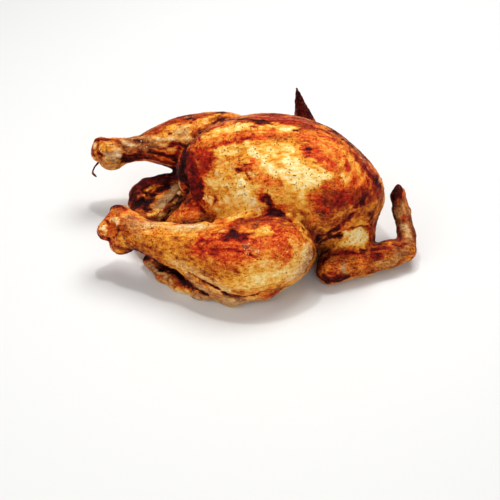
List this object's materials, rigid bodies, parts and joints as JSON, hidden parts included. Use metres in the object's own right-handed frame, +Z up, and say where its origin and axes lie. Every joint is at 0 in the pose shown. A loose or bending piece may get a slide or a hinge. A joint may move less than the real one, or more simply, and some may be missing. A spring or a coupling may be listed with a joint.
{
  "type": "roast chicken",
  "caption": "Whole roast chicken lying on its back: smooth rounded breast, splayed drumsticks with bare hocks, curled tail and folded wings with raised tips.",
  "frame": {"origin": "middle of the bird's outline, on the surface that it lies on", "axes": "+X runs along the bird from the drumstick ends to the neck, +Z is up through the breast, -Y is the side of the wing that lies flat"},
  "size_m": [0.272, 0.2057, 0.1106],
  "materials": {
    "roast_skin": null
  },
  "bodies": {
    "root": {"chicken": "roast_skin"}
  },
  "joints": []
}
